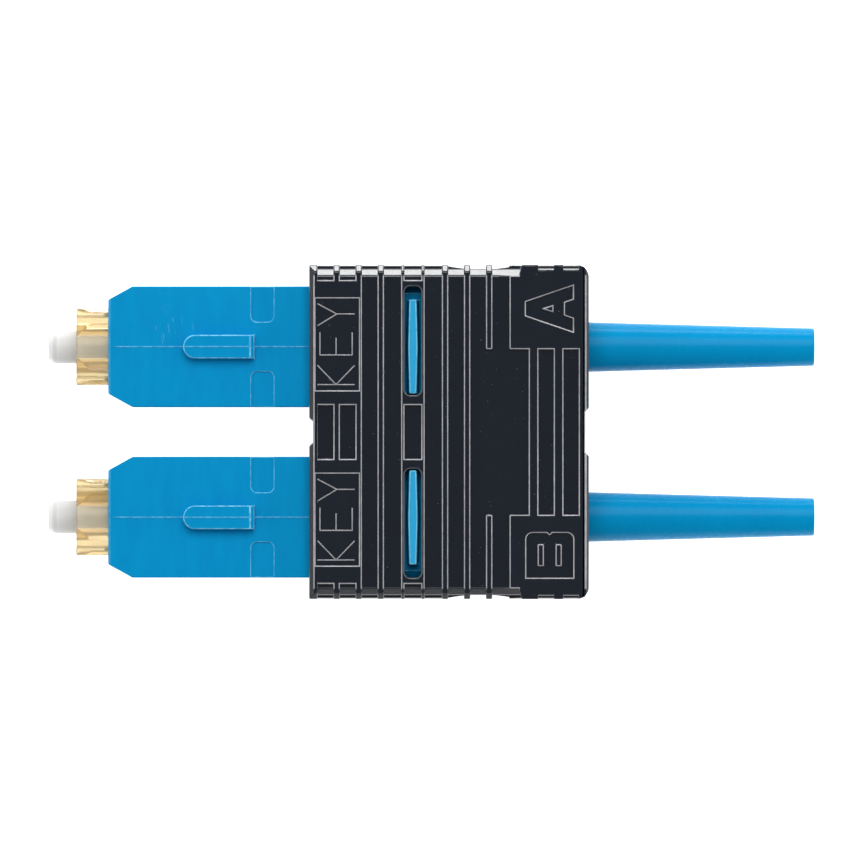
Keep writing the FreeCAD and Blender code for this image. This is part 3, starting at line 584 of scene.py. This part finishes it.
def rounded(shape, radius):
    """A closed shape with its outer edges rounded as a mould leaves them, and its roundings marked for
    painted edge highlight and shade.
    """
    shape.normal_update()
    low = [min(corner.co[axis] for corner in shape.verts) for axis in range(3)]
    high = [max(corner.co[axis] for corner in shape.verts) for axis in range(3)]
    weight = shape.edges.layers.float.new("bevel_weight_edge")
    for line in shape.edges:
        line[weight] = min(1, room_beside(line) / (SPARE_ROOM * radius)) if is_outer(line) else 0
    even_out(shape, weight)
    for face in shape.faces:
        face.material_index = 0
    shape = applied(shape, "BEVEL", {
        "limit_method": "WEIGHT", "offset_type": "OFFSET", "width": radius, "segments": EDGE_SEGMENTS,
        "profile": 0.5, "use_clamp_overlap": False, "material": 1})
    for corner in shape.verts:
        corner.co = [min(max(value, least), most) for value, least, most in zip(corner.co, low, high)]
    shape.normal_update()
    for line in shape.edges:
        roundings = sum(face.material_index for face in line.link_faces)
        line.smooth = roundings == 2 or roundings == 0 and line.calc_face_angle(0) < SHARP_ANGLE
    # The rounding faces get the mask that carries painted edge highlight and painted edge shade
    painted_edge = shape.faces.layers.float.new("painted_edge")
    for face in shape.faces:
        face[painted_edge] = face.material_index
        face.material_index = 0
        face.smooth = True
    return shape


def block(outline, low, high, bowls=()):
    """An upright block over an outline, with its upright edges rounded at the bowls."""
    shape = bmesh.new()
    base = shape.faces.new([shape.verts.new((x, y, low)) for x, y in outline])
    risen = bmesh.ops.extrude_face_region(shape, geom=[base])["geom"]
    top = [corner for corner in risen if isinstance(corner, bmesh.types.BMVert)]
    bmesh.ops.translate(shape, verts=top, vec=(0, 0, high - low))
    bmesh.ops.recalc_face_normals(shape, faces=shape.faces)
    uprights = [
        line for line in shape.edges
        if all((line.verts[0].co.xy - end.co.xy).length < WELD for end in line.verts)
        and any((line.verts[0].co.xy - Vector(bowl)).length < WELD for bowl in bowls)]
    bmesh.ops.bevel(
        shape, geom=uprights, offset=PAD_BOWL_RADIUS, offset_type="OFFSET", affect="EDGES",
        segments=PAD_BOWL_SEGMENTS, profile=0.5, material=-1, clamp_overlap=False)
    return shape


def combined(shape, tool, operation):
    """A shape with a block cut out of it or added to it."""
    mesh = meshed("block", tool)
    settings = {"object": linked("block", mesh), "operation": operation, "solver": "EXACT"}
    shape = applied(shape, "BOOLEAN", settings)
    bpy.data.meshes.remove(mesh)
    return shape


def sink_letter(shape, letter, side):
    """Sink the letter of a plug into its pad, with the islands inside it left standing."""
    def placed(points):
        return [((PAD_MIDDLE[0] + x) * MM, (side * PAD_MIDDLE[1] + y) * MM) for x, y in points]

    outline, islands, bowls = PAD_LETTERS[letter]
    floor = CLIP_TOP - PAD_LETTER_DEPTH
    hollow = block(placed(outline), floor, CLIP_TOP + PAD_LETTER_DEPTH, placed(bowls))
    shape = combined(shape, hollow, "DIFFERENCE")
    for island in islands:
        standing = block(placed(island), floor - PAD_LETTER_DEPTH, CLIP_TOP)
        shape = combined(shape, standing, "UNION")
    return shape


def moulded(node, edge, body, material):
    """A copy of a solid with its edges rounded, standing for the solid."""
    shape = copied(node)
    if node == "clip_upper":
        for letter, side in SIDES.items():
            shape = sink_letter(shape, letter, side)
    weld(shape)
    if node in ("clip_upper", "clip_lower"):
        steepen(shape)
        round_pads(shape)
    made = piece(f"{node}_moulded", rounded(shape, edge), body, material)
    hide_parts(node)


def coil(letter, material):
    """A copy of a ferrule spring, shaded round, riding on the inner body of its plug."""
    node = f"spring_{letter}"
    shape = copied(node)
    for face in shape.faces:
        face.smooth = True
    made = piece(f"{node}_coil", shape, f"inner_{letter}", material)
    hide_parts(node)
    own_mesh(made)


def stroke(shape, start, end, width, low, high):
    """A straight raised stroke between two points in millimetres, seen from above."""
    start = Vector(start) * MM
    end = Vector(end) * MM
    run = end - start
    place = Matrix.Translation((*((start + end) / 2), (low + high) / 2))
    turn = Matrix.Rotation(math.atan2(run.y, run.x), 4, "Z")
    size = Matrix.Diagonal((run.length + width, width, high - low, 1))
    bmesh.ops.create_cube(shape, size=1, matrix=place @ turn @ size)


def key_mark(letter, side, material):
    """The raised mark that names the keyed side, reading towards plug a."""
    shape = bmesh.new()
    middle_x, middle_y = MARK_FIELD
    for start, end in KEY_MARK:
        ends = [(middle_x + x, side * middle_y + y) for x, y in (start, end)]
        stroke(shape, *ends, MARK_STROKE, MARK_FLOOR - MARK_ROOT, MARK_TOP)
    piece(f"key_mark_{letter}", rounded(shape, MARK_EDGE), "shell", material)


def mould_line(letter, side, material):
    """The thin flash that the two halves of the mould leave along a housing, painted with edge highlight all
    over.
    """
    shape = bmesh.new()
    for front, rear, top in FLASH_RUNS:
        ends = [(x, side * PLUG_Y) for x in (front, rear)]
        stroke(shape, *ends, FLASH_WIDTH, top - MARK_ROOT, top + FLASH_HEIGHT)
    shape = rounded(shape, FLASH_EDGE)
    # The whole flash takes the painted edge highlight at that share
    painted_edge = shape.faces.layers.float["painted_edge"]
    for face in shape.faces:
        face[painted_edge] = FLASH_HIGHLIGHT
    piece(f"mould_line_{letter}", shape, "shell", material)


def dress():
    """Give every solid its finish, and add the marks and mould lines."""
    black = clip_finish()
    blue = housing_finish()
    boot = boot_finish()
    amber = frame_finish()
    white = ceramic_finish()
    steel = metal_finish("spring_steel")
    hidden = {
        "ferrule_flange": metal_finish("flange_metal"),
        "guide_tube": tube_finish(),
        "rear_body": metal_finish("body_metal"),
        "crimp_ring": metal_finish("crimp_metal"),
    }
    for half in ("upper", "lower"):
        moulded(f"clip_{half}", CLIP_EDGE, "shell", black)
    for letter, side in SIDES.items():
        moulded(f"outer_housing_{letter}", HOUSING_EDGE, "shell", blue)
        moulded(f"plug_frame_{letter}", FRAME_EDGE, f"inner_{letter}", amber)
        moulded(f"boot_{letter}", BOOT_EDGE, f"inner_{letter}", boot)
        moulded(f"ferrule_{letter}", FERRULE_EDGE, f"core_{letter}", white)
        coil(letter, steel)
        key_mark(letter, side, black)
        mould_line(letter, side, blue)
        for stem, material in hidden.items():
            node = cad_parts[f"{stem}_{letter}"]
            node.data.materials.clear()
            node.data.materials.append(material)


def lay_floor():
    """A plain pale floor just below the connector."""
    low = cad_bounds[0][2]
    shape = bmesh.new()
    bmesh.ops.create_grid(shape, x_segments=1, y_segments=1, size=FLOOR_REACH)
    bmesh.ops.translate(shape, verts=shape.verts, vec=(PHOTO_MIDDLE_X, 0, low - FLOOR_GAP))
    mesh = meshed("floor", shape)
    mesh.materials.append(floor_finish())
    linked("floor", mesh)


def panel(name, place, width, depth, power):
    """A soft light panel that faces the middle of the picture."""
    light = bpy.data.lights.new(name, "AREA")
    light.shape = "RECTANGLE"
    light.size = width
    light.size_y = depth
    light.energy = power
    made = linked(name, light)
    made.location = place
    made.rotation_euler = (Vector((PHOTO_MIDDLE_X, 0, 0)) - Vector(place)).to_track_quat("-Z", "Y").to_euler()
    made.visible_camera = False


def light_room():
    """An evenly glowing white room with the light panels in it."""
    world = bpy.data.worlds.new("studio")
    world.use_nodes = True
    glow = world.node_tree.nodes["Background"]
    glow.inputs["Color"].default_value = ROOM_WHITE
    glow.inputs["Strength"].default_value = ROOM_GLOW
    bpy.context.scene.world = world
    bpy.context.scene.view_settings.view_transform = "Standard"
    for name, (x, y, z), width, depth, power in LIGHTS:
        panel(name, (PHOTO_MIDDLE_X + x, y, z), width, depth, power)


def set_camera():
    """A long lens that looks straight down."""
    lens = bpy.data.cameras.new("camera")
    lens.sensor_width = SENSOR
    lens.lens = SENSOR * CAMERA_HEIGHT / FIELD_WIDTH
    lens.clip_start = NEAREST_SEEN
    camera = linked("camera", lens)
    camera.location = (PHOTO_MIDDLE_X, 0, CAMERA_HEIGHT)
    bpy.context.scene.camera = camera


dress()
lay_floor()
light_room()
set_camera()
